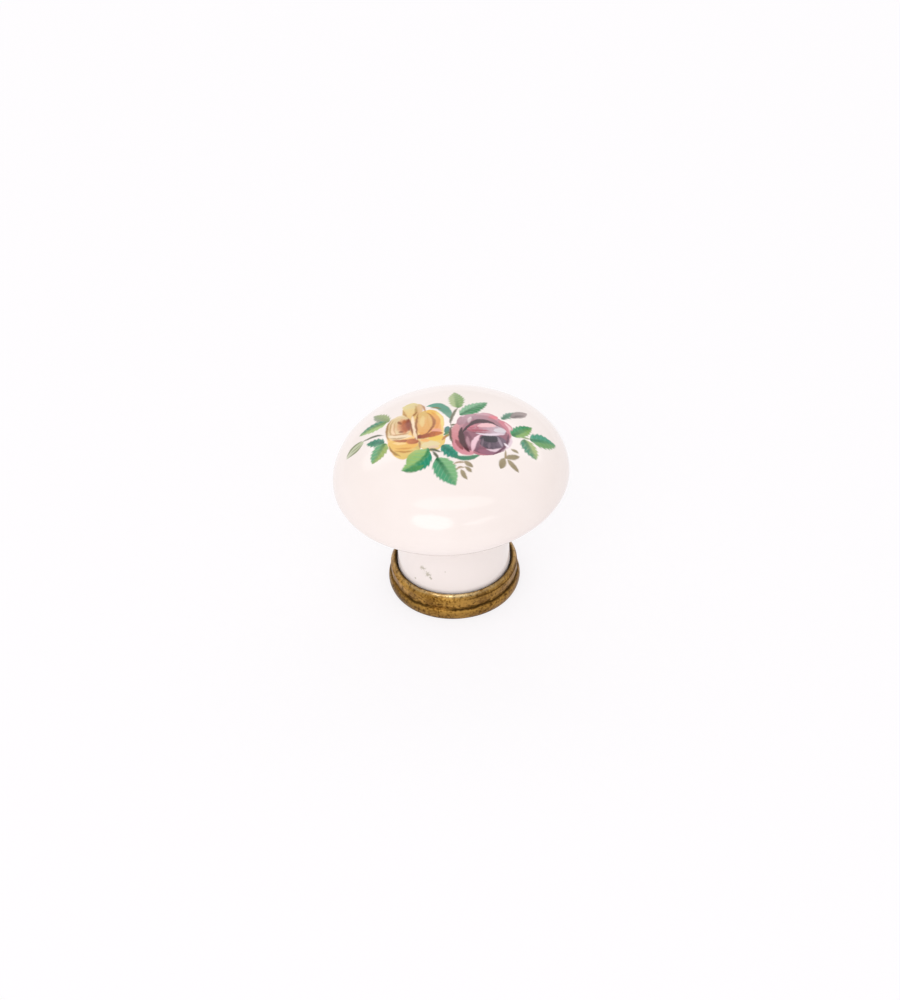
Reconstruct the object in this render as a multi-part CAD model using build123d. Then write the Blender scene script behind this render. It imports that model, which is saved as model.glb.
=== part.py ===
# Porcelain cabinet knob on an antique-brass base, with a threaded bush for the fixing screw.
# The mounting face is the plane Z = 0 and the fixing screw runs up the Z axis.
from build123d import *
from math import radians, sqrt, tan
import os

# Driving dimensions, in millimetres and degrees

# Knob as a whole
projection = 29.9            # mounting face to the top of the dome

# Porcelain
head_diameter = 35.0         # across the widest ring of the head
head_crown = 9.6             # widest ring up to the top of the dome
head_belly = 5.4             # widest ring down to the pole of the underside
head_lean = 2.7              # angle by which the fired head is out of square with its foot
neck_diameter = 17.2         # where the neck stands in the base
neck_waist = 0.25            # how far the neck draws in between the base and the head, each side
throat_fillet = 6.0          # hollow where the neck runs out into the head
foot_chamfer = 0.4           # fettled edge of the bare foot

# Brass base
base_height = 4.2            # mounting face to the top of the lip
lip_width = 0.5              # rolled lip around the neck
band_flare = 0.6             # how far the band widens from the lip down to the groove
band_swell = 0.12            # how far the band's rounded face stands out halfway down
bead_height = 1.6            # mounting face to the lower edge of the groove
bead_proud = 0.2             # how far the bead stands out past the band
bead_bulge = 0.2             # rise of the bead's rounded face
groove_width = 0.3
groove_depth = 0.3           # below the edge of the bead
foot_ring_width = 1.4        # flat ring that bears on the drawer front
floor_thickness = 1.0        # brass under the porcelain's foot

# Threaded bush
bush_diameter = 8.0
bush_reach = 11.0            # from the seat of the flange up into the porcelain
flange_diameter = 12.0
flange_thickness = 0.6
flange_setback = 0.2         # flange face behind the mounting face
thread_bore = 3.3            # tapping drill of an M4 thread
thread_mouth = 0.5           # countersink at the thread's mouth
drill_point = 118.0          # full angle of the drilled hole's cone
bush_end_wall = 1.6          # metal past the tip of the drilled hole
key_grooves = 3              # rings turned in the bush to key the cement
key_groove_width = 0.8
key_groove_depth = 0.4

# Fits
cup_clearance = 0.15         # neck in the lip of the base, each side
bush_clearance = 0.1         # bush through the floor of the base, each side
cement_gap = 0.2             # bush in the porcelain, each side
cement_end_gap = 0.4         # over the end of the bush

# Levels above the mounting face
seat_level = flange_setback + flange_thickness
foot_level = seat_level + floor_thickness
head_level = projection - head_crown
bush_top = seat_level + bush_reach
lip_level = base_height - lip_width / 2
band_level = bead_height + groove_width

# Radii about the screw's axis
head_radius = head_diameter / 2
neck_radius = neck_diameter / 2
bush_radius = bush_diameter / 2
thread_radius = thread_bore / 2
cup_radius = neck_radius + cup_clearance
lip_radius = cup_radius + lip_width
band_radius = lip_radius + band_flare
bead_radius = band_radius + bead_proud
foot_ring_radius = bead_radius - bead_bulge


def turn(*outline):
    """Revolve a closed outline of (radius, height) edges about the screw's axis."""
    section = make_face(Curve() + list(outline))
    return revolve(Plane.XZ * section, Axis.Z)


def quarter_ellipse(radius, height):
    """From the widest ring to the pole, as an exact rational curve."""
    return Bezier((radius, 0), (radius, height), (0, height), weights=(1, sqrt(0.5), 1))


def porcelain_knob():
    """A domed head on a waisted neck, pressed and fired as one piece, with a blind hole for the bush."""
    lens = turn(
        quarter_ellipse(head_radius, head_crown),
        Line((0, head_crown), (0, -head_belly)),
        quarter_ellipse(head_radius, -head_belly),
    )
    head = Pos(0, 0, head_level) * Rot(0, -head_lean, 0) * lens
    waist_level = (base_height + head_level) / 2
    neck = turn(
        Polyline(
            (0, head_level),
            (0, foot_level),
            (neck_radius - foot_chamfer, foot_level),
            (neck_radius, foot_level + foot_chamfer),
            (neck_radius, base_height),
        ),
        ThreePointArc(
            (neck_radius, base_height),
            (neck_radius - neck_waist, waist_level),
            (neck_radius, head_level),
        ),
        Line((neck_radius, head_level), (0, head_level)),
    )
    body = head + neck
    body = fillet(new_edges(head, neck, combined=body), throat_fillet)
    bore_depth = bush_top + cement_end_gap - foot_level
    bore = Cylinder(bush_radius + cement_gap, bore_depth, align=(Align.CENTER, Align.CENTER, Align.MIN))
    return body - Pos(0, 0, foot_level) * bore


def base_ferrule():
    """A turned cup: bead, groove and rounded band outside, a rolled lip, and a recessed underside."""
    hole_radius = bush_radius + bush_clearance
    recess_radius = foot_ring_radius - foot_ring_width
    groove_radius = foot_ring_radius - groove_depth
    swell_radius = (band_radius + lip_radius) / 2 + band_swell
    swell_level = (band_level + lip_level) / 2
    return turn(
        ThreePointArc((foot_ring_radius, 0), (bead_radius, bead_height / 2), (foot_ring_radius, bead_height)),
        Polyline(
            (foot_ring_radius, bead_height),
            (groove_radius, bead_height + groove_width / 2),
            (band_radius, band_level),
        ),
        ThreePointArc((band_radius, band_level), (swell_radius, swell_level), (lip_radius, lip_level)),
        ThreePointArc(
            (lip_radius, lip_level),
            ((lip_radius + cup_radius) / 2, base_height),
            (cup_radius, lip_level),
        ),
        Polyline(
            (cup_radius, lip_level),
            (cup_radius, foot_level),
            (hole_radius, foot_level),
            (hole_radius, seat_level),
            (recess_radius, seat_level),
            (recess_radius, 0),
            (foot_ring_radius, 0),
        ),
    )


def threaded_bush():
    """A flanged bush with keying rings, drilled and countersunk for the fixing screw."""
    tip_level = bush_top - bush_end_wall
    thread_top = tip_level - thread_radius / tan(radians(drill_point / 2))
    ring_pitch = (bush_top - foot_level) / (key_grooves + 1)
    ring_radius = bush_radius - key_groove_depth
    barrel = [(bush_radius, seat_level)]
    for ring in range(1, key_grooves + 1):
        ring_bottom = foot_level + ring * ring_pitch - key_groove_width / 2
        ring_top = ring_bottom + key_groove_width
        barrel += [(bush_radius, ring_bottom), (ring_radius, ring_bottom)]
        barrel += [(ring_radius, ring_top), (bush_radius, ring_top)]
    outline = [
        (0, bush_top),
        (0, tip_level),
        (thread_radius, thread_top),
        (thread_radius, flange_setback + thread_mouth),
        (thread_radius + thread_mouth, flange_setback),
        (flange_diameter / 2, flange_setback),
        (flange_diameter / 2, seat_level),
        *barrel,
        (bush_radius, bush_top),
    ]
    return turn(Polyline(*outline, close=True))


pieces = {
    "porcelain_knob": porcelain_knob(),
    "base_ferrule": base_ferrule(),
    "threaded_bush": threaded_bush(),
}

os.makedirs("parts", exist_ok=True)
for node, solid in pieces.items():
    export_step(solid, f"parts/{node}.step")
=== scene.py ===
import bpy
import math
from mathutils import Matrix, Vector, noise


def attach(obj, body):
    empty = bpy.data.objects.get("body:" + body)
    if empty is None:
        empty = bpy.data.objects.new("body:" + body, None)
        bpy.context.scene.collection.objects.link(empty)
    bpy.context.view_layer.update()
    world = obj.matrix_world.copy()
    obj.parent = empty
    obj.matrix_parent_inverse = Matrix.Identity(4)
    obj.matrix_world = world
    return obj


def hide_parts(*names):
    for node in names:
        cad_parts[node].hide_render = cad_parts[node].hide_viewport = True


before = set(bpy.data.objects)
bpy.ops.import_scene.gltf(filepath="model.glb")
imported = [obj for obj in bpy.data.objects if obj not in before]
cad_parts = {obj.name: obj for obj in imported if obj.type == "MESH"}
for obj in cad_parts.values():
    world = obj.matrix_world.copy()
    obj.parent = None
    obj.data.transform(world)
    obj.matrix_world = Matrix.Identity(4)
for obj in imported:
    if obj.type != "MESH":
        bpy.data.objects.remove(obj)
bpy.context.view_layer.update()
scene = bpy.context.scene
mm = 0.001
tiny = 1e-6  # millimetres within which two points are one
print("frame loaded:", ", ".join(sorted(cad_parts)))


class Wire:  # a shader socket: Python maths on it adds the nodes
    def __init__(self, tree, socket=None):
        self.tree = tree
        self.socket = socket

    def add(self, kind, settings=None, inputs=None, output=0):
        node = self.tree.nodes.new("ShaderNode" + kind)
        for name, value in (settings or {}).items():
            setattr(node, name, value)
        for name, value in (inputs or {}).items():
            if isinstance(value, Wire):
                self.tree.links.new(value.socket, node.inputs[name])
            else:
                node.inputs[name].default_value = value
        return Wire(self.tree, node.outputs[output] if node.outputs else None)

    def math(self, operation, *values):
        return self.add("Math", {"operation": operation}, dict(enumerate(values)))

    def __add__(self, other):
        return self.math("ADD", self, other)

    def __radd__(self, other):
        return self.math("ADD", other, self)

    def __sub__(self, other):
        return self.math("SUBTRACT", self, other)

    def __rsub__(self, other):
        return self.math("SUBTRACT", other, self)

    def __mul__(self, other):
        return self.math("MULTIPLY", self, other)

    def __rmul__(self, other):
        return self.math("MULTIPLY", other, self)

    def __truediv__(self, other):
        return self.math("DIVIDE", self, other)

    def __pow__(self, other):
        return self.math("POWER", self, other)

    def __abs__(self):
        return self.math("ABSOLUTE", self)

    def ease(self, low, high):  # 0 at low, 1 at high, smooth between
        settings = {"interpolation_type": "SMOOTHSTEP", "clamp": False}
        return self.add("MapRange", settings, {"Value": self, "From Min": low, "From Max": high})

    def blend(self, under, over):  # this value is how much of over shows
        return self.add("Mix", {"data_type": "RGBA"}, {0: self, 6: under, 7: over}, 2)

    def split(self):
        node = self.add("SeparateXYZ", {}, {"Vector": self}).socket.node
        return [Wire(self.tree, socket) for socket in node.outputs]


def tone(red, green, blue):  # a display colour of 0 to 255 as the linear colour that nodes take
    parts = []
    for part in (red, green, blue):
        share = part / 255
        parts.append(share / 12.92 if share <= 0.04045 else ((share + 0.055) / 1.055) ** 2.4)
    return (*parts, 1.0)


def newMaterial(name):
    material = bpy.data.materials.new(name)
    material.use_nodes = True
    material.node_tree.nodes.clear()
    return material, Wire(material.node_tree)


def surfaceOutput(pen, shader):
    pen.add("OutputMaterial", {}, {"Surface": shader})


def cloudy(pen, place, scale, detail, roughness=0.5, output="Fac"):  # noise over a surface
    sockets = {"Vector": place, "Scale": scale, "Detail": detail, "Roughness": roughness}
    return pen.add("TexNoise", {}, sockets, output)


def spread(start, end, count):
    return [start + (end - start) * i / count for i in range(count + 1)]


def smooth(value, low, high):
    share = min(1.0, max(0.0, (value - low) / (high - low)))
    return share * share * (3 - 2 * share)


def uneven(spot, scale, seed):  # smooth noise on both sides of 0
    return noise.noise(spot * scale + Vector(seed))


# Outlines are (radius, height) points in millimetres, from the top down the outside and up the inside


def line(start, end, step):
    count = max(1, round(math.dist(start, end) / step))
    return [tuple(a + (b - a) * i / count for a, b in zip(start, end)) for i in range(count + 1)]


def arc(centre, radius, fromAngle, toAngle, step):
    sweep = math.radians(toAngle - fromAngle)
    count = max(2, round(abs(sweep) * radius / step))
    angles = [math.radians(fromAngle) + sweep * i / count for i in range(count + 1)]
    return [(centre[0] + radius * math.cos(a), centre[1] + radius * math.sin(a)) for a in angles]


def joinRuns(*runs):
    points = []
    for run in runs:
        for point in run:
            if not points or math.dist(points[-1], point) > tiny:
                points.append(point)
    return points


def softened(corners, ease, step, closed=True):  # a polygon with its corners eased by short curves
    count = len(corners)
    most = 0.45  # share of a side that one corner may take
    runs = []
    for i, corner in enumerate(corners):
        before = Vector(corners[i - 1])
        here = Vector(corner)
        after = Vector(corners[(i + 1) % count])
        if not closed and i in (0, count - 1):
            runs.append([tuple(here)])
            continue
        entry = here + (before - here).normalized() * min(ease, (before - here).length * most)
        leave = here + (after - here).normalized() * min(ease, (after - here).length * most)
        curve = [entry * (1 - s) ** 2 + here * 2 * s * (1 - s) + leave * s ** 2 for s in spread(0, 1, 4)]
        runs.append([tuple(point) for point in curve])
    if closed:
        runs.append([runs[0][0]])
    points = []
    for first, second in zip(runs, runs[1:]):
        points += first + line(first[-1], second[0], step)
    points += runs[-1]
    return joinRuns(points[:-1] if closed else points)


def latheMesh(name, outline, segments, place, closed, unwrap=None, sharpAngle=40):
    # place(radius, height, angle) gives the point in millimetres, so a surface can be uneven
    rings = []
    verts = []
    for radius, height in outline:
        if radius < tiny:
            rings.append([len(verts)] * segments)
            verts.append(Vector(place(0.0, height, 0.0)) * mm)
            continue
        rings.append([len(verts) + j for j in range(segments)])
        for j in range(segments):
            verts.append(Vector(place(radius, height, 2 * math.pi * j / segments)) * mm)
    faces = []
    spots = []  # the ring and the share of the turn at each corner
    pairs = list(zip(rings, rings[1:]))
    if closed:
        pairs.append((rings[-1], rings[0]))
    for i, (upper, lower) in enumerate(pairs):
        for j in range(segments):
            k = (j + 1) % segments
            around = (
                (upper[j], i, j),
                (lower[j], i + 1, j),
                (lower[k], i + 1, j + 1),
                (upper[k], i, j + 1),
            )
            corners = {}  # three where a ring is one point on the axis
            for vert, ring, turn in around:
                corners.setdefault(vert, (i, ring, turn / segments))
            faces.append(list(corners))
            spots += corners.values()
    mesh = bpy.data.meshes.new(name)
    mesh.from_pydata(verts, [], faces)
    if unwrap:
        layer = mesh.uv_layers.new(name="OFBake")
        for corner, spot in zip(layer.data, spots):
            corner.uv = unwrap(*spot)
    mesh.shade_smooth()
    mesh.set_sharp_from_angle(angle=math.radians(sharpAngle))
    piece = bpy.data.objects.new(name, mesh)
    scene.collection.objects.link(piece)
    return piece


def dress(piece, material, node):
    piece.data.materials.append(material)
    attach(piece, "root")
    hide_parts(node)
    print(f"{piece.name}: {len(piece.data.polygons)} faces")


# Porcelain: a domed head on a waisted neck

porcelain = {
    "headRadius": 17.5,
    "headLevel": 20.3,       # height of the widest ring
    "crown": 9.6,
    "belly": 5.4,
    "lean": 2.7,             # degrees by which the head was fired out of square
    "leanFrom": 10.5,        # the lean grows over this stretch of the neck
    "leanTo": 15.5,
    "neckRadius": 8.6,
    "waist": 0.25,
    "throat": 6.0,           # radius of the hollow under the head
    "neckFrom": 4.2,
    "foot": 1.8,
    "footEase": 0.4,
    "boreRadius": 4.2,
    "boreTop": 12.2,
    "unevenness": 0.035,     # low swells left by pressing and firing
    "swells": (              # scale, share and seed of each
        (0.13, 1.0, (4.1, 7.7, 2.3)),
        (0.31, 0.5, (1.4, 3.2, 8.8)),
    ),
    "swellLevels": (4.2, 8.2),    # they grow up the neck
    "swellRadii": (5.0, 8.0),     # and fade towards the axis
    "domeRings": 84,
    "bellyRings": 36,
    "segments": 256,
    "step": 0.32,
}


def porcelainOutline(p):
    level = p["headLevel"]
    radius = p["headRadius"]
    half = (level - p["neckFrom"]) / 2
    bow = (half ** 2 + p["waist"] ** 2) / (2 * p["waist"])  # radius of the neck's long hollow curve
    bowLevel = p["neckFrom"] + half
    bowCentre = p["neckRadius"] - p["waist"] + bow

    def underside(turn):  # a point of the belly and the way its surface faces
        point = Vector((radius * math.cos(turn), level - p["belly"] * math.sin(turn)))
        facing = Vector((math.cos(turn) / radius, -math.sin(turn) / p["belly"])).normalized()
        return point, facing

    # halve the range of turns until the throat's circle touches the belly and the neck's curve
    low, high = 0.2, 1.5
    halvings = 60
    for _ in range(halvings):
        turn = (low + high) / 2
        point, facing = underside(turn)
        centre = point + facing * p["throat"]
        spare = bow - math.dist(centre, (bowCentre, bowLevel)) - p["throat"]
        if spare > 0:
            low = turn
        else:
            high = turn
    toBelly = math.degrees(math.atan2(-facing.y, -facing.x))
    neckTop = math.degrees(math.atan2(centre.y - bowLevel, centre.x - bowCentre))
    domeTurns = spread(0, math.pi / 2, p["domeRings"])
    dome = [(radius * math.sin(t), level + p["crown"] * math.cos(t)) for t in domeTurns]
    bowl = [tuple(underside(t)[0]) for t in spread(0, turn, p["bellyRings"])]
    hollow = arc(centre, p["throat"], toBelly, neckTop % 360, p["step"] / 2)
    neckFoot = math.degrees(math.atan2(p["neckFrom"] - bowLevel, p["neckRadius"] - bowCentre))
    neck = arc((bowCentre, bowLevel), bow, neckTop % 360, neckFoot % 360, p["step"])
    foot = softened(
        [
            (p["neckRadius"], p["neckFrom"]),
            (p["neckRadius"], p["foot"]),
            (p["boreRadius"], p["foot"]),
            (p["boreRadius"], p["boreTop"]),
            (0.0, p["boreTop"]),
        ],
        p["footEase"], p["step"] * 2, closed=False,
    )
    outline = joinRuns(dome, bowl, hollow, neck, foot)
    domeEnd = len(dome) - 1
    neckEnd = outline.index(neck[-1])
    return outline, domeEnd, neckEnd


def porcelainPlace(radius, height, angle):
    p = porcelain
    x = radius * math.cos(angle)
    y = radius * math.sin(angle)
    spot = Vector((x, y, height))
    swell = sum(share * uneven(spot, scale, seed) for scale, share, seed in p["swells"])
    grown = smooth(height, *p["swellLevels"]) * smooth(radius, *p["swellRadii"])
    push = 1 + p["unevenness"] * swell * grown / max(radius, p["swellRadii"][0])
    x *= push
    y *= push
    turn = math.radians(-p["lean"]) * smooth(height, p["leanFrom"], p["leanTo"])
    up = height - p["headLevel"]
    return (
        x * math.cos(turn) + up * math.sin(turn),
        y,
        p["headLevel"] - x * math.sin(turn) + up * math.cos(turn),
    )


glaze = {
    "cream": tone(244, 233, 228),
    "pale": tone(247, 237, 233),
    "neck": tone(246, 237, 233),      # painted light: lighter and cooler down the neck, lifting the shade under the head
    "neckFrom": 15.0,
    "neckTo": 9.0,
    "bisque": tone(214, 200, 182),
    "gloss": 0.07,
    "bareGloss": 0.6,        # how much rougher the bare foot is
    "bareBelow": 2.9,        # glaze stops above the bare foot
    "bareEdge": 0.1,
    "clouds": (90.0, 3.0),   # scale and detail of each noise
    "grain": (2600.0, 2.0),
    "speckEdge": (3200.0, 2.0),
    "speck": tone(150, 142, 108),
    "speckDepth": 0.62,
    "specks": (              # marks in the neck's glaze: place and radius
        ((-4.73, -6.97, 7.89), 0.6),
        ((-3.93, -7.48, 7.06), 0.75),
        ((-3.58, -7.68, 6.48), 0.4),
        ((-5.85, -6.21, 5.27), 0.24),
        ((-1.4, -8.3, 8.14), 0.16),
    ),
}


spray = {
    "wobble": 0.22,          # how far a stroke strays, in millimetres
    "drift": 0.9,            # unevenness of tone within a stroke
    "depth": 1.13,           # strength of the inks
    "cover": 1.27,           # over 1, so that only the thinnest places let the glaze show
    "grain": 0.4,            # how thin the print gets in places
    "wobbleNoise": (0.9, 5.0, 0.6),    # scale, detail and roughness of each noise
    "driftNoise": (2.2, 3.0),
    "grainNoise": (3.5, 4.0, 0.7),
    "edge": (0.5, 1.5),      # the print comes in over these heights above the widest ring
    "halves": (-0.6, 0.6),   # a leaf's two halves meet over this width
    "rib": (0.5, 0.05),      # and its rib fades over this one
    "veins": 0.2,
    "veinTurn": 9.0,         # how close the veins are along a leaf
    "veinSlant": 6.0,        # and how far they lean
    "veinPale": 0.35,
    "teeth": 0.11,           # how far a leaf's edge stands out at each vein
    "leafSoft": 0.4,         # width of a leaf's soft edge
    "leafSpread": 0.3,       # and how much wider that makes the leaf
}

strokeValues = (
    "x", "y", "drift", "alongX", "alongY", "alongFrom", "acrossX", "acrossY", "acrossFrom",
    "width", "bend", "fat", "lead", "soft", "strength",
)


def strokeGroup(name, inks):  # a node group that lays one stroke of colour over what is painted already
    tree = bpy.data.node_groups.new(name, "ShaderNodeTree")
    sockets = {key: "Float" for key in strokeValues}
    sockets.update({key: "Color" for key in ("under", *inks)})
    for key, kind in sockets.items():
        tree.interface.new_socket(key, in_out="INPUT", socket_type="NodeSocket" + kind)
    tree.interface.new_socket("colour", in_out="OUTPUT", socket_type="NodeSocketColor")
    entry = tree.nodes.new("NodeGroupInput")
    given = {key: Wire(tree, entry.outputs[key]) for key in sockets}
    along = given["x"] * given["alongX"] + (given["y"] * given["alongY"] + given["alongFrom"])
    across = given["x"] * given["acrossX"] + (given["y"] * given["acrossY"] + given["acrossFrom"])
    place = along ** given["lead"]
    arch = along.math("MAXIMUM", place * 4 * (1 - place), 0)
    across = across - arch * given["bend"]
    edge = abs(across) - given["width"] * 0.5 * arch ** given["fat"]
    return tree, given, edge, arch, along, across


def endGroup(tree, given, edge, ink):
    mask = (edge / given["soft"]).ease(0.0, -1.0) * given["strength"]
    leave = tree.nodes.new("NodeGroupOutput")
    tree.links.new(mask.blend(given["under"], ink).socket, leave.inputs["colour"])
    return tree


def plainStrokeGroup():
    tree, given, edge, _, along, _ = strokeGroup("brush_stroke", ("first", "last"))
    ink = (along + given["drift"]).blend(given["first"], given["last"])
    return endGroup(tree, given, edge, ink)


def leafGroup():
    tree, given, edge, arch, along, across = strokeGroup("brush_leaf", ("left", "right", "rib", "pale"))
    ink = (across + given["drift"]).ease(*spray["halves"]).blend(given["right"], given["left"])
    apart = abs(across)
    length = given["alongX"].math("SQRT", given["alongX"] ** 2 + given["alongY"] ** 2)
    vein = along.math("SINE", along / length * spray["veinTurn"] - apart * spray["veinSlant"])
    ink = (vein.ease(0.1, 1.0) * spray["veins"]).blend(ink, given["pale"])
    ink = ((apart.ease(*spray["rib"]) + given["drift"]) * (1 - along)).blend(ink, given["rib"])
    return endGroup(tree, given, edge - vein * arch * spray["teeth"], ink)


class Brush:  # lays strokes one over another, in flat millimetres about the head's axis
    def __init__(self, flat, colour, drift):
        self.x, self.y, _ = flat.split()
        self.colour = colour
        self.drift = drift   # shared unevenness of tone
        self.plain = plainStrokeGroup()
        self.leafy = leafGroup()

    def lay(self, group, start, end, inks, values):
        run = Vector(end) - Vector(start)
        way = run.normalized()
        sockets = {
            "x": self.x,
            "y": self.y,
            "drift": self.drift,
            "under": self.colour,
            "alongX": way.x / run.length,
            "alongY": way.y / run.length,
            "alongFrom": -way.dot(Vector(start)) / run.length,
            "acrossX": -way.y,
            "acrossY": way.x,
            "acrossFrom": way.y * start[0] - way.x * start[1],
            **values,
            **{key: tone(*self.deepened(ink)) for key, ink in inks.items()},
        }
        self.colour = self.colour.add("Group", {"node_tree": group}, sockets)

    def deepened(self, ink):
        return [max(0, 255 - (255 - part) * spray["depth"]) for part in ink]

    def stroke(
        self, start, end, width, first, last=None,
        bend=0.0, fat=0.5, lead=1.0, soft=0.3, strength=1.0,
    ):
        inks = {"first": first, "last": last or first}
        values = {"bend": bend, "fat": fat, "lead": lead, "strength": strength}
        values.update(width=width + soft, soft=soft)
        self.lay(self.plain, start, end, inks, values)

    def leaf(
        self, base, tip, width, left, right, rib,
        bend=0.0, fat=0.8, lead=0.8, strength=1.0,
    ):
        pale = [part + (255 - part) * spray["veinPale"] for part in left]
        inks = {"left": left, "right": right, "rib": rib, "pale": pale}
        values = {"bend": bend, "fat": fat, "lead": lead, "strength": strength}
        values.update(width=width + spray["leafSpread"], soft=spray["leafSoft"])
        self.lay(self.leafy, base, tip, inks, values)


def leftLeaves(brush):
    brush.leaf(
        (-8.4, 2.5), (-10.9, 6.3), 1.9, (138, 154, 126), (152, 172, 108), (132, 156, 92),
        strength=0.9,
    )
    brush.leaf((-8.7, 2.7), (-13.1, 2.2), 2.3, (176, 202, 136), (82, 146, 120), (120, 150, 88))
    brush.stroke((-9.1, -0.5), (-12.6, 0.1), 0.42, (106, 110, 92), (128, 134, 110), bend=-0.35)
    # a closed bud
    brush.stroke((-12.2, 0.2), (-15.0, -1.3), 1.5, (192, 200, 166), (208, 210, 188), fat=0.7)
    brush.stroke((-12.2, 0.35), (-15.0, -1.1), 0.42, (132, 144, 104), (150, 158, 124), bend=-0.65)
    brush.stroke((-12.4, -0.3), (-14.9, -1.3), 0.38, (146, 154, 118), bend=0.5)
    brush.stroke((-12.6, -0.3), (-14.4, -0.8), 0.28, (160, 168, 132))
    brush.leaf((-9.0, -2.1), (-11.9, -0.8), 1.6, (90, 154, 122), (72, 146, 126), (58, 120, 98), fat=0.7)
    brush.leaf((-9.0, -2.2), (-10.9, -5.4), 2.5, (158, 178, 100), (102, 168, 126), (92, 138, 74), fat=0.65)


def topLeaves(brush):
    brush.stroke(
        (-2.7, 4.6), (0.8, 0.6), 1.6, (108, 170, 150), (120, 158, 138),
        bend=1.05, fat=0.3, lead=0.65,
    )
    brush.stroke((-2.3, 3.9), (-0.5, 3.2), 0.35, (170, 140, 84), (128, 110, 70), bend=0.2)
    brush.leaf((1.8, 3.2), (1.3, 8.6), 2.4, (184, 198, 152), (144, 174, 118), (124, 158, 106))
    brush.leaf((2.0, 1.3), (6.2, 5.3), 2.5, (146, 190, 156), (74, 146, 98), (62, 124, 88))
    # stem between the roses and what springs from it
    brush.stroke((1.8, 3.5), (0.6, -0.9), 0.48, (140, 140, 118), (104, 104, 84), bend=-0.2)
    brush.stroke((0.3, -1.1), (-0.1, -2.7), 0.95, (92, 142, 140), (84, 136, 118))
    brush.stroke((-0.5, -3.0), (0.6, -2.4), 0.6, (96, 142, 100))
    brush.stroke((-0.4, -3.6), (0.5, -2.9), 0.5, (160, 152, 84))
    brush.stroke((0.4, -0.9), (1.7, -0.9), 0.36, (112, 106, 78))
    brush.stroke((0.6, -1.4), (1.5, -1.4), 0.28, (122, 114, 88))


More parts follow.
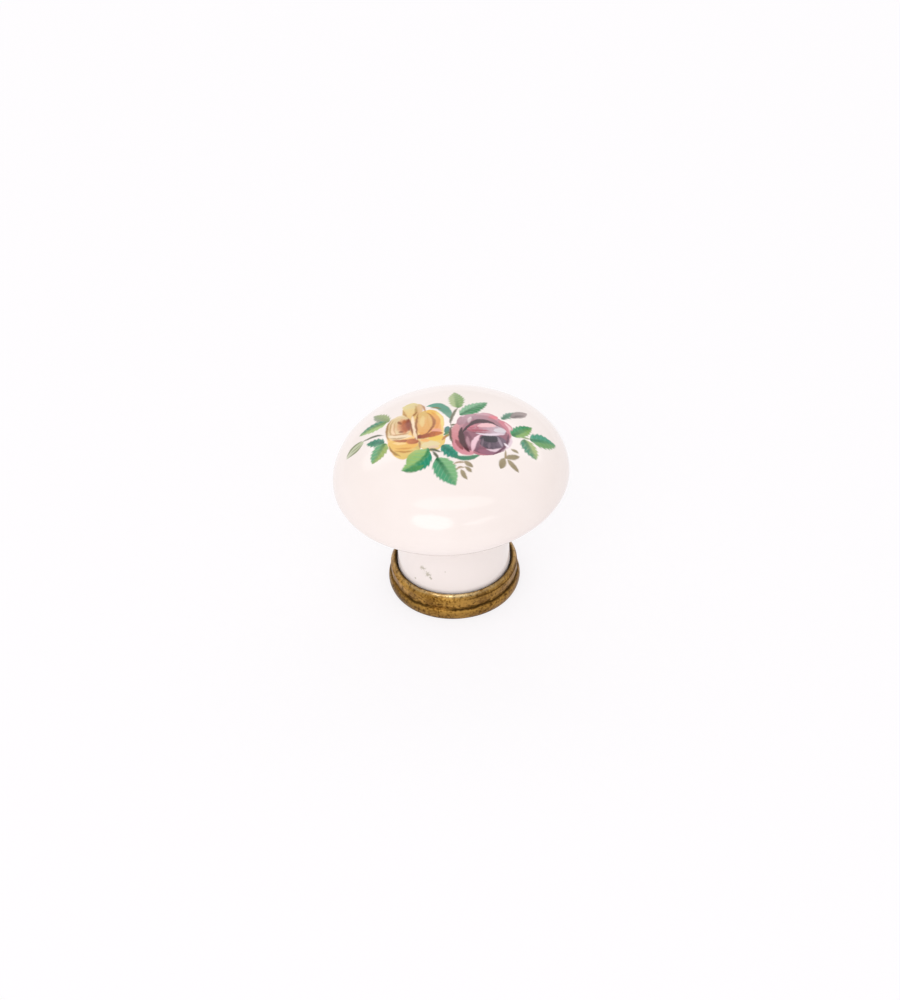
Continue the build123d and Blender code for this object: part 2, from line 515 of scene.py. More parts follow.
def yellowRose(brush):
    # gold ground that the petals lie on
    brush.stroke((-6.8, 2.9), (-6.2, -6.1), 4.4, (236, 206, 156), (244, 200, 124), fat=0.4)
    brush.stroke((-2.8, 3.4), (-2.3, -5.7), 4.3, (238, 206, 132), (240, 206, 142), fat=0.4)
    # tall petal behind, and the folds in it
    brush.stroke((-4.9, 0.6), (-5.2, 6.4), 2.7, (238, 196, 128), (230, 218, 164), fat=0.3)
    brush.stroke((-6.5, 5.6), (-3.5, 5.1), 1.2, (231, 219, 166), (226, 204, 156), fat=0.4)
    brush.stroke((-3.9, 2.2), (-3.9, 5.5), 1.2, (228, 184, 130), (222, 192, 146), strength=0.9)
    brush.stroke((-3.0, 2.9), (-3.7, 5.4), 0.34, (190, 140, 98), (200, 160, 124), bend=-0.2)
    brush.stroke((-4.6, 2.0), (-4.5, 5.4), 0.42, (186, 144, 82), (206, 176, 118), bend=-0.2)
    brush.stroke((-5.2, 0.8), (-6.4, 5.0), 0.4, (176, 124, 70), (206, 168, 112), bend=0.15)
    brush.stroke((-5.1, 2.0), (-4.2, 3.4), 0.3, (170, 118, 62))
    # outer petal on the right
    brush.stroke((-2.5, 3.5), (-1.5, -2.7), 2.4, (240, 198, 106), (234, 174, 120), bend=0.45)
    brush.stroke((-1.6, 3.0), (-0.7, -1.8), 0.55, (236, 214, 140), bend=0.5)
    brush.stroke((-2.2, 2.9), (-1.6, -1.9), 0.8, (232, 176, 92), (222, 150, 84), bend=0.6, strength=0.8)
    brush.stroke((-2.2, -1.7), (-0.6, -2.1), 0.9, (232, 170, 150), strength=0.85)
    # lowest petals
    brush.stroke((-4.6, -3.6), (-4.2, -5.8), 1.1, (226, 190, 120), (206, 188, 118))
    brush.stroke((-7.8, -4.7), (-4.2, -5.3), 1.9, (228, 196, 116), (226, 198, 130), bend=-0.5)
    brush.stroke((-7.8, -4.2), (-4.6, -5.2), 0.34, (196, 146, 74), bend=-0.4)
    brush.stroke((-4.1, -3.9), (-0.1, -3.9), 3.4, (230, 206, 150), (232, 202, 122), bend=-0.3)
    brush.stroke((-3.8, -4.5), (-0.9, -4.7), 1.3, (228, 212, 168))
    brush.stroke((-3.0, -5.2), (-1.0, -5.2), 0.6, (226, 200, 176), strength=0.8)
    brush.stroke((-2.7, -3.4), (-0.4, -3.5), 1.0, (236, 200, 100), strength=0.95)
    brush.stroke((-3.9, -3.4), (-2.4, -3.9), 0.6, (238, 176, 104), strength=0.8)
    brush.stroke((-0.7, -4.1), (0.1, -3.1), 0.45, (186, 116, 72), strength=0.8)
    brush.stroke((-8.6, -2.4), (-4.1, -4.3), 2.1, (234, 196, 114), (234, 186, 104), bend=-0.4)
    brush.stroke((-8.0, -2.8), (-5.8, -3.6), 0.5, (246, 214, 158), strength=0.8)
    brush.stroke((-8.4, -3.0), (-6.6, -5.9), 0.34, (150, 112, 62), (190, 150, 90), bend=-0.35)
    brush.stroke((-7.6, -3.9), (-4.8, -4.6), 0.28, (206, 146, 74), bend=-0.25, strength=0.8)
    # cup on the left with its dark hollow
    brush.stroke((-7.0, 3.3), (-6.9, -2.6), 3.8, (226, 204, 162), (230, 206, 164), fat=0.45)
    brush.stroke((-7.9, 1.7), (-7.6, -1.3), 0.9, (240, 212, 176), bend=-0.2)
    brush.stroke((-6.5, 2.4), (-6.0, -1.5), 1.9, (230, 186, 142), (206, 138, 94), soft=0.7)
    brush.stroke((-6.1, 2.1), (-5.9, -1.2), 1.3, (186, 106, 40), (176, 94, 34), soft=0.8, strength=0.95)
    brush.stroke((-5.6, 2.2), (-5.4, -1.2), 0.8, (146, 70, 0), (158, 80, 14), soft=0.5)
    brush.stroke((-7.1, 1.9), (-6.5, 0.9), 0.5, (150, 92, 56), strength=0.8)
    brush.stroke((-7.0, -0.7), (-6.1, -1.0), 0.4, (146, 88, 58), strength=0.8)
    brush.stroke((-8.0, 3.0), (-8.3, -2.3), 0.34, (176, 140, 96), bend=-0.6)
    brush.stroke((-7.6, 2.7), (-7.8, -1.9), 0.28, (198, 164, 118), bend=-0.55)
    brush.stroke((-7.3, 2.2), (-7.3, -1.4), 0.22, (206, 160, 118), bend=-0.3, strength=0.8)
    brush.stroke((-8.0, 2.7), (-5.9, 2.9), 0.5, (235, 217, 180), bend=0.3)
    brush.stroke((-8.6, -1.0), (-4.9, -2.3), 0.9, (238, 220, 190), bend=-0.25)
    brush.stroke((-8.3, -0.7), (-5.2, -1.4), 0.28, (196, 146, 104), bend=-0.35)
    brush.stroke((-8.4, -1.5), (-5.6, -2.2), 0.26, (190, 158, 116), bend=-0.3)
    brush.stroke((-8.0, -2.1), (-4.6, -3.0), 0.5, (196, 134, 90), (166, 90, 52), bend=-0.35)
    brush.stroke((-5.9, -3.1), (-4.0, -3.7), 1.1, (206, 136, 84), (176, 102, 60))
    # front petal on the right, its shadow and the pale roll down the middle
    brush.stroke((-4.7, -2.9), (-0.5, -2.5), 1.2, (146, 70, 10), (204, 124, 58), bend=0.1)
    brush.stroke((-3.4, 3.1), (-3.0, -2.9), 2.5, (224, 194, 130), (228, 168, 96))
    brush.stroke((-3.4, 2.2), (-3.5, -0.8), 0.8, (232, 208, 148), strength=0.7)
    brush.stroke((-2.7, 2.2), (-2.5, -1.4), 0.3, (222, 172, 98), strength=0.7)
    brush.stroke((-3.1, 3.1), (-3.7, -3.0), 0.46, (196, 140, 80), (146, 78, 38), bend=1.65)
    brush.stroke((-4.4, -2.9), (-1.3, -2.4), 0.7, (140, 64, 4), (190, 112, 44), bend=0.05)
    brush.stroke((-4.9, 2.7), (-4.3, -3.4), 0.65, (247, 228, 200), (238, 212, 182), bend=-0.15)
    brush.stroke((-4.0, 3.2), (-4.1, -2.9), 0.36, (176, 128, 66), (150, 88, 46), bend=-0.3)
    brush.stroke((-5.3, 1.6), (-4.9, -2.4), 0.36, (138, 74, 22), (162, 102, 50))
    brush.stroke((-4.0, -3.4), (-3.8, -5.2), 0.34, (178, 140, 96))


def lowLeaves(brush):
    brush.stroke((-3.1, -5.5), (-0.8, -6.3), 0.42, (104, 112, 92), bend=0.15)
    brush.stroke((-2.1, -5.9), (-1.3, -7.7), 0.42, (110, 116, 96), bend=0.1)
    brush.stroke((-3.4, -5.3), (-5.8, -8.1), 1.5, (176, 196, 126), (144, 184, 116), bend=-0.5, fat=0.6)
    brush.leaf((-2.7, -5.2), (-6.8, -8.3), 3.1, (14, 150, 118), (160, 194, 124), (66, 144, 92), bend=1.0)
    brush.stroke((-3.4, -8.2), (-6.4, -8.4), 0.9, (110, 164, 84), (84, 140, 92), bend=0.2, strength=0.7)
    brush.leaf((-1.6, -7.2), (1.0, -11.8), 3.2, (138, 187, 138), (92, 166, 128), (40, 118, 80))
    # a leaf that shows on two sides of the plum rose
    brush.leaf((-0.7, -5.0), (1.5, -7.5), 1.9, (60, 152, 128), (52, 146, 126), (44, 126, 106), fat=0.6)
    brush.stroke((0.4, -6.9), (4.8, -6.8), 0.8, (64, 142, 118), (108, 150, 120), bend=-0.7)


def plumRose(brush):
    brush.stroke((5.1, 1.9), (5.1, -7.0), 8.3, (196, 150, 160), (190, 130, 142))
    # outer petals, from the left round to the right
    brush.stroke((1.6, -0.6), (1.4, -5.0), 1.3, (214, 158, 162), (204, 132, 138), bend=-0.3)
    brush.stroke((1.6, -0.9), (4.2, 1.3), 1.8, (176, 136, 146), (196, 162, 172), bend=0.2)
    brush.stroke((3.2, -0.5), (3.7, 1.0), 0.5, (244, 222, 226))
    brush.stroke((2.2, 0.9), (2.9, 1.3), 0.35, (240, 216, 222), strength=0.6)
    brush.stroke((3.9, 0.6), (7.6, 0.9), 1.8, (204, 174, 184), (216, 150, 160), bend=0.5)
    brush.stroke((4.3, 1.5), (6.4, 1.7), 0.45, (220, 184, 192), strength=0.8)
    brush.stroke((6.1, 1.0), (7.6, 1.2), 0.9, (228, 140, 150))
    brush.stroke((7.6, 0.6), (9.0, -2.6), 1.4, (210, 132, 144), (204, 146, 158), bend=0.45)
    brush.stroke((8.3, 0.3), (9.3, -2.4), 0.4, (238, 198, 202), bend=0.3)
    brush.stroke((0.8, -4.2), (3.8, -6.9), 1.7, (210, 140, 150), (224, 162, 172), bend=-0.35)
    brush.stroke((1.2, -4.0), (2.3, -6.1), 0.7, (146, 72, 78), strength=0.85)
    # ball of inner petals, with the shade round it
    brush.stroke((5.6, -0.1), (5.6, -6.8), 6.6, (166, 114, 128), (146, 102, 118))
    brush.stroke((2.8, -2.4), (3.4, -6.3), 1.5, (128, 82, 98), (154, 108, 122), bend=-0.2)
    brush.stroke((2.9, -3.4), (3.2, -5.6), 0.5, (196, 154, 164), strength=0.7)
    brush.stroke(
        (2.0, -2.8), (8.9, -1.8), 1.6, (128, 88, 102), (140, 100, 114),
        bend=3.1, soft=0.8, strength=0.45,
    )
    brush.stroke((2.1, -3.3), (8.8, -2.3), 1.05, (76, 38, 52), (88, 50, 66), bend=2.75, lead=0.97)
    brush.stroke((2.3, -1.4), (3.2, -6.6), 0.9, (76, 40, 50), (100, 50, 60), bend=-0.6)
    brush.stroke((3.0, -1.9), (8.5, -2.0), 2.4, (184, 92, 110), (204, 196, 206), bend=0.3)
    brush.stroke((4.4, -1.2), (7.3, -0.8), 0.9, (238, 194, 198), bend=0.1)
    brush.stroke((6.7, -1.9), (8.6, -1.7), 1.0, (218, 210, 216))
    brush.stroke((3.2, -2.2), (6.1, -2.1), 0.45, (168, 76, 94), strength=0.8)
    brush.stroke((3.3, -1.4), (4.6, -1.0), 0.3, (216, 140, 150), strength=0.7)
    # dark heart and the rolled petals round it
    brush.stroke((4.6, -4.4), (8.5, -4.2), 2.9, (68, 54, 72), (130, 110, 126), fat=0.4)
    brush.stroke((4.9, -3.8), (7.6, -3.7), 1.4, (38, 32, 48), (60, 54, 68), strength=0.95)
    brush.stroke((5.2, -3.6), (4.9, -5.6), 0.3, (150, 126, 140), strength=0.6)
    brush.stroke((6.2, -4.4), (5.8, -5.8), 0.35, (138, 118, 132), strength=0.7)
    brush.stroke((7.3, -3.1), (7.9, -5.2), 0.4, (184, 168, 180), strength=0.7)
    brush.stroke((3.2, -2.5), (6.8, -2.55), 0.3, (134, 68, 84), bend=-0.2, strength=0.9)
    brush.stroke((4.0, -2.8), (8.5, -2.3), 0.5, (230, 214, 224), bend=-0.35)
    brush.stroke((4.9, -3.8), (4.2, -6.4), 0.6, (140, 104, 120), bend=-0.2)
    brush.stroke((4.9, -3.0), (3.6, -6.5), 0.75, (240, 208, 218), (232, 192, 204), bend=-0.35)
    brush.stroke((4.3, -6.1), (7.0, -6.3), 0.9, (170, 116, 134), (158, 122, 138), bend=-0.15)
    brush.stroke((5.4, -5.8), (8.8, -4.7), 0.55, (230, 206, 216), bend=-0.55)
    brush.stroke((8.8, -1.8), (6.2, -6.8), 0.45, (120, 82, 100), bend=0.95)
    brush.stroke((9.3, -2.8), (8.4, -5.5), 0.45, (228, 208, 216), bend=0.15)
    brush.stroke((8.1, -4.2), (8.9, -5.0), 0.35, (242, 230, 236))
    brush.stroke((0.8, -0.9), (0.9, -5.0), 0.4, (112, 92, 74), bend=-0.3)


def rightLeaves(brush):
    brush.leaf((8.0, 0.8), (10.0, 3.5), 1.2, (138, 172, 156), (116, 156, 134), (98, 136, 114))
    brush.stroke((9.2, 1.6), (11.9, 4.3), 1.5, (152, 144, 142), (184, 170, 168), fat=0.9)
    brush.stroke((9.5, 1.8), (11.3, 3.3), 0.35, (126, 114, 114), strength=0.7)
    brush.stroke((10.4, -2.4), (12.2, -2.2), 0.34, (150, 164, 122))
    brush.leaf((9.3, -2.6), (12.4, 0.7), 2.2, (44, 150, 98), (142, 176, 100), (50, 128, 78))
    brush.leaf((11.9, -2.4), (15.7, -0.8), 2.7, (82, 164, 136), (126, 170, 112), (56, 132, 98))
    brush.leaf((11.0, -2.6), (12.6, -6.0), 2.2, (170, 188, 128), (80, 148, 124), (76, 132, 92))


def khakiSprigs(brush):
    for start, end, width in (
        ((9.0, -5.1), (10.2, -5.7), 0.55),
        ((8.0, -7.0), (10.3, -6.2), 0.85),
        ((8.1, -6.9), (7.4, -8.9), 1.0),
        ((8.4, -7.1), (10.0, -8.9), 0.85),
        ((2.3, -8.0), (3.6, -9.1), 0.65),
        ((2.3, -8.8), (3.4, -9.9), 0.55),
        ((1.7, -9.3), (2.6, -11.0), 0.75),
    ):
        brush.stroke(start, end, width, (176, 164, 138), (158, 146, 120), fat=0.7)
    for start, end, bend in (
        ((8.3, -5.4), (8.2, -7.3), 0.0),
        ((0.6, -8.6), (2.7, -8.3), 0.25),
        ((0.9, -9.4), (2.5, -9.0), 0.15),
    ):
        brush.stroke(start, end, 0.3, (172, 152, 122), bend=bend)


def roseSpray(pen, place, ground):
    sockets = {
        "Vector": place,
        "Location": (0, 0, porcelain["headLevel"] * mm),
        "Rotation": (0, math.radians(-porcelain["lean"]), 0),
        "Scale": (mm, mm, mm),
    }
    flat = pen.add("Mapping", {"vector_type": "TEXTURE"}, sockets)
    top = flat.split()[2].ease(*spray["edge"])
    strayed = cloudy(pen, flat, *spray["wobbleNoise"], output="Color")
    strayed = pen.add("VectorMath", {"operation": "SUBTRACT"}, {0: strayed, 1: (0.5, 0.5, 0.5)})
    strayed = pen.add("VectorMath", {"operation": "SCALE"}, {0: strayed, "Scale": 2 * spray["wobble"]})
    strayed = pen.add("VectorMath", {"operation": "ADD"}, {0: flat, 1: strayed})
    drift = cloudy(pen, flat, *spray["driftNoise"])
    brush = Brush(strayed, ground, (drift - 0.5) * spray["drift"])
    for paint in (leftLeaves, topLeaves, yellowRose, lowLeaves, plumRose, rightLeaves, khakiSprigs):
        paint(brush)
    print(f"rose spray: {len(pen.tree.nodes)} nodes")
    grain = cloudy(pen, flat, *spray["grainNoise"])
    return (top * (spray["cover"] - spray["grain"] * grain)).blend(ground, brush.colour)


def specked(pen, place, ground):
    ragged = cloudy(pen, place, *glaze["speckEdge"])
    for spot, radius in glaze["specks"]:
        away = pen.add("VectorMath", {"operation": "DISTANCE"}, {0: place, 1: Vector(spot) * mm}, "Value")
        edge = away / mm + (ragged - 0.5) * radius * 2
        ground = (edge.ease(radius, 0.0) * glaze["speckDepth"]).blend(ground, glaze["speck"])
    return ground


def porcelainMaterial():
    material, pen = newMaterial("cream_glaze")
    place = pen.add("TexCoord", {}, {}, "Object")
    z = place.split()[2]
    cloud = cloudy(pen, place, *glaze["clouds"])
    grain = cloudy(pen, place, *glaze["grain"])
    colour = cloud.ease(0.3, 0.75).blend(glaze["cream"], glaze["pale"])
    # painted light: the neck below the head is lightened against its shade
    colour = z.ease(glaze["neckFrom"] * mm, glaze["neckTo"] * mm).blend(colour, glaze["neck"])
    colour = roseSpray(pen, place, specked(pen, place, colour))
    stop, edge = glaze["bareBelow"], glaze["bareEdge"]
    bare = z.ease((stop + edge) * mm, (stop - edge) * mm)
    colour = bare.blend(colour, glaze["bisque"])
    roughness = glaze["gloss"] + 0.04 * cloud + glaze["bareGloss"] * bare
    ripple = cloud * 0.4 + grain * bare
    normal = pen.add("Bump", {}, {"Strength": 0.1, "Distance": 0.0001, "Height": ripple})
    shader = pen.add(
        "BsdfPrincipled", {},
        {"Base Color": colour, "Roughness": roughness, "Normal": normal, "IOR": 1.52},
    )
    surfaceOutput(pen, shader)
    return material


unwrapped = {                # the dome as a disc, the rest as two strips
    "discCentre": (0.37, 0.63),
    "discRadius": 0.36,
    "neckStrip": (0.005, 0.99, 0.25, 0.24),    # left and width, then top and height
    "footStrip": (0.75, 0.24, 0.27, 0.72),     # left and width, then bottom and height
}


def porcelainUnwrap(outline, domeEnd, neckEnd):
    reach = [0.0]
    for first, second in zip(outline, outline[1:]):
        reach.append(reach[-1] + math.dist(first, second))

    def unwrap(face, ring, share):
        if face < domeEnd:
            x, y = unwrapped["discCentre"]
            out = unwrapped["discRadius"] * reach[ring] / reach[domeEnd]
            turn = 2 * math.pi * share
            return (x + out * math.cos(turn), y + out * math.sin(turn))
        if face < neckEnd:
            left, width, top, tall = unwrapped["neckStrip"]
            down = (reach[ring] - reach[domeEnd]) / (reach[neckEnd] - reach[domeEnd])
            return (left + width * share, top - tall * down)
        left, width, bottom, tall = unwrapped["footStrip"]
        down = (reach[ring] - reach[neckEnd]) / (reach[-1] - reach[neckEnd])
        return (left + width * down, bottom + tall * share)

    return unwrap


knobOutline, domeEnd, neckEnd = porcelainOutline(porcelain)
knob = latheMesh(
    "knob.porcelain", knobOutline, porcelain["segments"], porcelainPlace, False,
    porcelainUnwrap(knobOutline, domeEnd, neckEnd),
)
dress(knob, porcelainMaterial(), "porcelain_knob")


# Brass base: bead, groove, flared band and rolled lip

ferrule = {
    "height": 4.2,
    "cupRadius": 8.75,
    "lip": 0.5,
    "shoulder": (0.42, 0.65),     # half axes of the curve by which the lip runs out into the band
    "bandRadius": 9.85,
    "bandSwell": 0.12,
    "bandFrom": 1.9,
    "grooveRadius": 9.55,
    "beadRadius": 10.05,
    "beadEdge": 9.85,
    "beadHeight": 1.6,
    "recessRadius": 8.45,
    "seat": 0.8,
    "floor": 1.8,
    "holeRadius": 4.1,
    "ease": 0.07,
    "dents": 0.03,
    "pits": 0.08,
    "ragged": 0.12,          # unevenness of the groove
    "dentNoise": (0.45, (9.2, 1.1, 5.5)),     # scale and seed of each
    "pitNoise": (2.1, (2.7, 6.4, 0.9)),
    "raggedNoise": (1.3, (5.1, 0.4, 7.3)),
    "pitFrom": 0.25,         # only the noise above this pits the brass
    "raggedReach": (0.45, 0.1),    # distances from the groove's middle
    "outerRadii": (8.7, 9.2),      # the inside and the seat stay true
    "outerLevels": (0.0, 0.4),
    "shoulderTurn": 58,      # degrees of the shoulder's curve before the band takes over
    "shoulderPoints": 8,
    "bandPoints": 10,
    "bandSkip": 3,           # points of the band that the shoulder replaces
    "beadPoints": 12,
    "lipStep": 0.05,
    "segments": 256,
    "step": 0.24,
}


def arcThrough(start, middle, end, count):  # a shallow arc by its two ends and its crest
    chord = Vector(end) - Vector(start)
    rise = Vector(middle) - (Vector(start) + chord / 2)
    radius = ((chord.length / 2) ** 2 + rise.length ** 2) / (2 * rise.length)
    centre = Vector(middle) - rise.normalized() * radius
    first = math.atan2(start[1] - centre.y, start[0] - centre.x)
    last = math.atan2(end[1] - centre.y, end[0] - centre.x)
    if last > first:
        last -= 2 * math.pi
    turns = spread(first, last, count)
    return [(centre.x + radius * math.cos(t), centre.y + radius * math.sin(t)) for t in turns]


def ferruleOutline(f):
    lipRadius = f["cupRadius"] + f["lip"]
    lipLevel = f["height"] - f["lip"] / 2
    lipMiddle = (f["cupRadius"] + lipRadius) / 2
    runOut, drop = f["shoulder"]
    grooveLevel = (f["bandFrom"] + f["beadHeight"]) / 2
    lip = arc((lipMiddle, lipLevel), f["lip"] / 2, 180, 90, f["lipStep"])
    turns = spread(0, math.radians(f["shoulderTurn"]), f["shoulderPoints"])
    shoulder = [(lipMiddle + runOut * math.sin(t), f["height"] - drop * (1 - math.cos(t))) for t in turns]
    bead = arcThrough(
        (f["beadEdge"], f["beadHeight"]),
        (f["beadRadius"], f["beadHeight"] / 2),
        (f["beadEdge"], 0.0),
        f["beadPoints"],
    )
    swell = ((lipRadius + f["bandRadius"]) / 2 + f["bandSwell"], (lipLevel + f["bandFrom"]) / 2)
    band = arcThrough((lipRadius, lipLevel), swell, (f["bandRadius"], f["bandFrom"]), f["bandPoints"])
    corners = joinRuns(
        lip,
        shoulder,
        band[f["bandSkip"]:],
        [(f["grooveRadius"], grooveLevel)],
        bead,
        [
            (f["recessRadius"], 0.0),
            (f["recessRadius"], f["seat"]),
            (f["holeRadius"], f["seat"]),
            (f["holeRadius"], f["floor"]),
            (f["cupRadius"], f["floor"]),
        ],
    )
    return softened(corners, f["ease"], f["step"])


def ferrulePlace(radius, height, angle):
    f = ferrule
    x = radius * math.cos(angle)
    y = radius * math.sin(angle)
    spot = Vector((x, y, height))
    dent = uneven(spot, *f["dentNoise"])
    pit = max(0.0, uneven(spot, *f["pitNoise"]) - f["pitFrom"])
    ragged = uneven(spot, *f["raggedNoise"])
    groove = smooth(abs(height - (f["bandFrom"] + f["beadHeight"]) / 2), *f["raggedReach"])
    outside = smooth(radius, *f["outerRadii"]) * smooth(height, *f["outerLevels"])
    push = (f["dents"] * dent - f["pits"] * pit + f["ragged"] * ragged * groove) * outside / radius
    return (x * (1 + push), y * (1 + push), height)


brass = {
    "gold": tone(198, 152, 76),
    "brown": tone(134, 95, 38),
    "dark": tone(58, 40, 14),
    "stain": tone(118, 88, 50),
    # worn brass on the lip, made paler as a painted highlight
    "wornAndHighlit": tone(232, 206, 152),
    "mottle": (380.0, 5.0, 0.62),     # scale, detail and roughness of each noise
    "speckle": (2600.0, 3.0, 0.6),
    "tarnish": (120.0, 2.0),
    "stained": 0.5,               # strength of each mark, of the dirt in the groove and of the painted shade in the other places
    "beadDarkening": 0.45,
    # painted shade on the bead's left side
    "leftShadeStrength": 0.45,
    "pitted": 0.58,
    "grooveDirt": 0.85,
    # painted shade where the lip meets the porcelain, under the bead and under the lip
    "seamShade": 0.85,
    "rimShade": 0.7,
    "lipShade": 0.6,
    "sides": (3.0, 8.0),          # each pair runs from none of a mark to all of it, in millimetres
    "beadLevels": (1.6, 0.9),
    # where the painted shade on the bead's left side lies, across and up
    "leftShadeSide": (-4.0, -8.5),
    "leftShadeLevels": (2.2, 1.2),
    # heights over which the worn lip and its painted highlight come in
    "wearHighlightLevels": (3.7, 4.1),
    "grooveReach": (0.24, 0.02),
    "grooveLevel": 1.75,
    # where the painted shade by the porcelain lies
    "seamRadii": (9.08, 8.9),
    "seamWider": 0.2,             # at the sides
    "seamLevels": (3.0, 3.8),
    # heights of the painted shade along the bottom of the bead
    "rimLevels": (0.4, 0.0),
    # painted shade in a thin line under the lip, on the right
    "lipReach": (0.14, 0.02),
    "lipLevel": 3.5,
    "lipSide": (0.5, 3.0),
    "roughness": 0.26,
}


def brassMaterial():
    material, pen = newMaterial("antique_brass")
    place = pen.add("TexCoord", {}, {}, "Object")
    x, y, z = place.split()
    mottle = cloudy(pen, place, *brass["mottle"])
    speckle = cloudy(pen, place, *brass["speckle"])
    tarnish = cloudy(pen, place, *brass["tarnish"])
    level = z / mm
    across = (x * x + y * y) ** 0.5 / mm
    colour = (0.5 * mottle + 0.5 * speckle).ease(0.4, 0.6).blend(brass["brown"], brass["gold"])
    colour = (tarnish.ease(0.45, 0.7) * brass["stained"]).blend(colour, brass["stain"])
    # the bead darker towards its bottom
    colour = (level.ease(*brass["beadLevels"]) * brass["beadDarkening"]).blend(colour, brass["stain"])
    # painted shade: the lower part of the bead is darker on its left side
    leftShade = (x / mm).ease(*brass["leftShadeSide"]) * level.ease(*brass["leftShadeLevels"])
    colour = (leftShade * brass["leftShadeStrength"]).blend(colour, brass["dark"])
    sides = (abs(x) / mm).ease(*brass["sides"])
    # painted highlight: the lip's crest lighter and paler, kept to the front; partly real wear
    wearAndHighlight = level.ease(*brass["wearHighlightLevels"]) * mottle.ease(0.3, 0.6) * (1 - 0.8 * sides)
    colour = wearAndHighlight.blend(colour, brass["wornAndHighlit"])
    pits = speckle.ease(0.45, 0.33)
    # dirt in the groove; painted shade where the lip meets the porcelain, under the bead and under the lip
    groove = abs(level - brass["grooveLevel"] + 0.5 * (mottle - 0.5)).ease(*brass["grooveReach"])
    groove = groove * tarnish.ease(0.3, 0.5)
    seamFrom, seamTo = brass["seamRadii"]
    # painted shade where the lip meets the porcelain, wider at the sides
    seam = across.ease(seamFrom + brass["seamWider"] * sides, seamTo) * level.ease(*brass["seamLevels"])
    # painted shade along the bottom edge of the bead, against the floor
    rim = (level + 0.3 * (mottle - 0.5)).ease(*brass["rimLevels"])
    # painted shade: a thin dark line under the lip, on the right side only
    under = abs(level - brass["lipLevel"] + 0.3 * (mottle - 0.5)).ease(*brass["lipReach"])
    under = under * (x / mm).ease(*brass["lipSide"])
    dark = pits * brass["pitted"]
    dirtAndShade = (
        groove * brass["grooveDirt"],
        seam * brass["seamShade"],
        rim * brass["rimShade"],
        under * brass["lipShade"],
    )
    for share in dirtAndShade:
        dark = dark.math("MAXIMUM", dark, share)
    colour = dark.blend(colour, brass["dark"])
    roughness = brass["roughness"] + 0.25 * mottle + 0.3 * dark - 0.15 * wearAndHighlight
    height = mottle * 0.5 + speckle * 0.5 - pits
    normal = pen.add("Bump", {}, {"Strength": 0.35, "Distance": 0.00006, "Height": height})
    shader = pen.add(
        "BsdfPrincipled", {},
        {"Base Color": colour, "Metallic": 1.0, "Roughness": roughness, "Normal": normal},
    )
    surfaceOutput(pen, shader)
    return material


base = latheMesh("base.brass", ferruleOutline(ferrule), ferrule["segments"], ferrulePlace, True)
dress(base, brassMaterial(), "base_ferrule")


# Threaded bush in the foot

bush = {
    "radius": 4.0,
    "top": 11.8,
    "flangeRadius": 6.0,
    "flangeFrom": 0.2,
    "flangeTo": 0.8,
    "boreRadius": 1.65,
    "threadDepth": 0.33,
    "threadPitch": 0.7,
    "threadFrom": 0.7,
    "threadTo": 9.21,
    "tip": 10.2,
    "mouth": 0.5,
    "rings": (4.3, 6.8, 9.3),     # keying grooves, at their middles
    "ringWidth": 0.8,
    "ringDepth": 0.4,
    "threadSteps": 12,       # rings of points in one pitch
    "threadRunIn": 0.4,      # the thread grows and fades over these lengths
    "threadRunOut": 0.6,
    "flank": 2.6,            # slope of the thread's flanks
    "crest": 0.15,           # and the flat they leave
    "ease": 0.06,
    "step": 0.4,
    "segments": 96,
    "gold": tone(206, 170, 104),
    "stain": tone(168, 126, 66),
    "bright": tone(226, 196, 134),
    "stainNoise": (260.0, 4.0),    # scale and detail
    "ringNoise": (9.0, 2.0),
}


def bushOutline(b):
    barrel = [(0.0, b["top"]), (b["radius"], b["top"])]
    for middle in sorted(b["rings"], reverse=True):
        for level, radius in (
            (middle + b["ringWidth"] / 2, b["radius"]),
            (middle + b["ringWidth"] / 2, b["radius"] - b["ringDepth"]),
            (middle - b["ringWidth"] / 2, b["radius"] - b["ringDepth"]),
            (middle - b["ringWidth"] / 2, b["radius"]),
        ):
            barrel.append((radius, level))
    flange = [
        (b["radius"], b["flangeTo"]),
        (b["flangeRadius"], b["flangeTo"]),
        (b["flangeRadius"], b["flangeFrom"]),
        (b["boreRadius"] + b["mouth"], b["flangeFrom"]),
        (b["boreRadius"], b["threadFrom"]),
    ]
    outside = softened(barrel + flange, b["ease"], b["step"], closed=False)
    mouth = (b["boreRadius"], b["threadFrom"])
    end = (b["boreRadius"], b["threadTo"])
    thread = line(mouth, end, b["threadPitch"] / b["threadSteps"])
    return joinRuns(outside, thread, [(0.0, b["tip"])])


def bushPlace(radius, height, angle):
    b = bush
    if abs(radius - b["boreRadius"]) < tiny:
        turns = (height / b["threadPitch"] - angle / (2 * math.pi)) % 1.0
        ridge = min(1.0, max(0.0, b["flank"] * abs(turns - 0.5) - b["crest"]))
        fade = smooth(height, b["threadFrom"], b["threadFrom"] + b["threadRunIn"])
        fade *= smooth(height, b["threadTo"], b["threadTo"] - b["threadRunOut"])
        radius += b["threadDepth"] * (1 - ridge) * fade
    return (radius * math.cos(angle), radius * math.sin(angle), height)


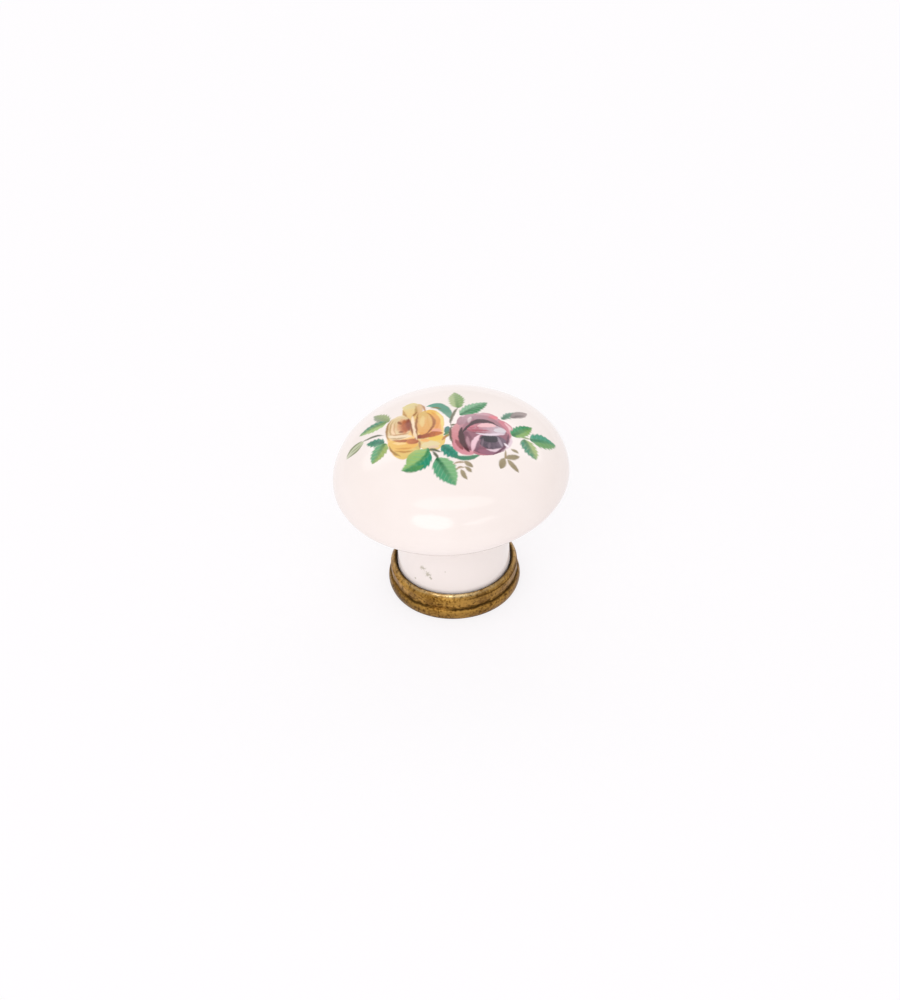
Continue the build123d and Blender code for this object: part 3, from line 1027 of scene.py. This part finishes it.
def bushMaterial():
    material, pen = newMaterial("turned_brass")
    place = pen.add("TexCoord", {}, {}, "Object")
    x, y, _ = place.split()
    across = (x * x + y * y) ** 0.5
    scale, detail = bush["ringNoise"]
    sockets = {"W": across / mm, "Scale": scale, "Detail": detail}
    rings = pen.add("TexNoise", {"noise_dimensions": "1D"}, sockets, "Fac")
    stain = cloudy(pen, place, *bush["stainNoise"])
    colour = stain.ease(0.35, 0.7).blend(bush["gold"], bush["stain"])
    colour = (rings.ease(0.4, 0.7) * 0.35).blend(colour, bush["bright"])
    normal = pen.add("Bump", {}, {"Strength": 0.3, "Distance": 0.00003, "Height": rings})
    shader = pen.add(
        "BsdfPrincipled", {},
        {"Base Color": colour, "Metallic": 1.0, "Roughness": 0.26 + 0.2 * stain, "Normal": normal},
    )
    surfaceOutput(pen, shader)
    return material


insert = latheMesh("bush.brass", bushOutline(bush), bush["segments"], bushPlace, False)
dress(insert, bushMaterial(), "threaded_bush")


# Floor, light and camera

studio = {
    "paper": (1.0, 0.985, 1.0, 1.0),
    "matt": (0.93, 0.92, 0.935, 1.0),
    "air": (1.0, 0.985, 0.985, 1.0),
    "shadowShare": 0.22,     # how much of the real shadow shows on the bright floor
    "world": 0.79,
    "floorSize": 1.6,
    "floorLevel": -0.00002,  # just under the base, so that the two don't share a plane
}


def makeFloor(s):
    mesh = bpy.data.meshes.new("floor")
    half = s["floorSize"] / 2
    sides = ((-half, -half), (half, -half), (half, half), (-half, half))
    mesh.from_pydata([(x, y, s["floorLevel"]) for x, y in sides], [], [(0, 1, 2, 3)])
    floor = bpy.data.objects.new("floor", mesh)
    scene.collection.objects.link(floor)
    material, pen = newMaterial("floor_paper")
    rays = pen.add("LightPath", {}, {}, "Is Camera Ray").socket.node
    seen = Wire(pen.tree, rays.outputs["Is Camera Ray"])
    seen = seen.math("MAXIMUM", seen, Wire(pen.tree, rays.outputs["Is Glossy Ray"]))
    matt = pen.add("BsdfDiffuse", {}, {"Color": s["matt"]})
    bright = pen.add("Emission", {}, {"Color": s["paper"], "Strength": 1.0})
    shader = pen.add("MixShader", {}, {0: seen * (1 - s["shadowShare"]), 1: matt, 2: bright})
    surfaceOutput(pen, shader)
    mesh.materials.append(material)


def makeWorld(s):
    world = bpy.data.worlds.new("studio")
    scene.world = world
    world.use_nodes = True
    world.node_tree.nodes.clear()
    pen = Wire(world.node_tree)
    seen = pen.add("LightPath", {}, {}, "Is Camera Ray")
    dim = pen.add("Background", {}, {"Color": s["air"], "Strength": s["world"]})
    bright = pen.add("Background", {}, {"Color": s["paper"], "Strength": 1.0})
    shader = pen.add("MixShader", {}, {0: seen, 1: dim, 2: bright})
    pen.add("OutputWorld", {}, {"Surface": shader})


softboxes = {
    # azimuth 0 is the camera's side and grows towards +X; spans are the angles seen from the knob
    "left": {"azimuth": -24, "elevation": 35, "spans": (36, 28), "level": 2.1},
    "right": {"azimuth": 24, "elevation": 32, "spans": (30, 9), "level": 1.2},
    "top": {"azimuth": -3, "elevation": 67, "spans": (60, 17), "level": 1.1},
    "back": {"azimuth": 180, "elevation": 45, "spans": (100, 30), "level": 0.8},
}


def makeSoftbox(name, azimuth, elevation, spans, level, distance=0.7, aimedAt=(0, 0, 0.02)):
    turn = math.radians(azimuth)
    rise = math.radians(elevation)
    aim = Vector((math.sin(turn) * math.cos(rise), -math.cos(turn) * math.cos(rise), math.sin(rise)))
    wide, tall = (2 * distance * math.tan(math.radians(span / 2)) for span in spans)
    lamp = bpy.data.lights.new("softbox." + name, "AREA")
    lamp.shape = "ELLIPSE"
    lamp.size = wide
    lamp.size_y = tall
    lamp.energy = level * math.pi * math.pi * wide * tall / 4
    box = bpy.data.objects.new(lamp.name, lamp)
    box.location = Vector(aimedAt) + aim * distance
    box.rotation_euler = aim.to_track_quat("Z", "Y").to_euler()
    scene.collection.objects.link(box)


def makeCamera():
    view = {"elevation": 39.75, "distance": 0.3, "target": 0.01407, "roll": 1.993}
    lens = {"lens": 72.18, "sensor_width": 36.0, "clip_start": 0.01}
    frameWidth, frameHeight = 900, 1000
    targetPixel = (452.1, 505.2)     # where the target stands in the picture
    rise = math.radians(view["elevation"])
    roll = math.radians(view["roll"])
    back = Vector((0, -math.cos(rise), math.sin(rise)))
    right = Vector((1, 0, 0))
    up = back.cross(right)
    turnedRight = right * math.cos(roll) - up * math.sin(roll)
    turnedUp = up * math.cos(roll) + right * math.sin(roll)
    camera = bpy.data.objects.new("camera", bpy.data.cameras.new("camera"))
    for setting, value in lens.items():
        setattr(camera.data, setting, value)
    camera.data.shift_x = -(targetPixel[0] - frameWidth / 2) / frameHeight
    camera.data.shift_y = (targetPixel[1] - frameHeight / 2) / frameHeight
    axes = Matrix((turnedRight, turnedUp, back)).transposed().to_4x4()
    spot = Vector((0, 0, view["target"])) + back * view["distance"]
    camera.matrix_world = Matrix.Translation(spot) @ axes
    scene.collection.objects.link(camera)
    scene.camera = camera


makeFloor(studio)
makeWorld(studio)
for name, box in softboxes.items():
    makeSoftbox(name, **box)
makeCamera()
scene.view_settings.view_transform = "Standard"
print("floor, light and camera in place")
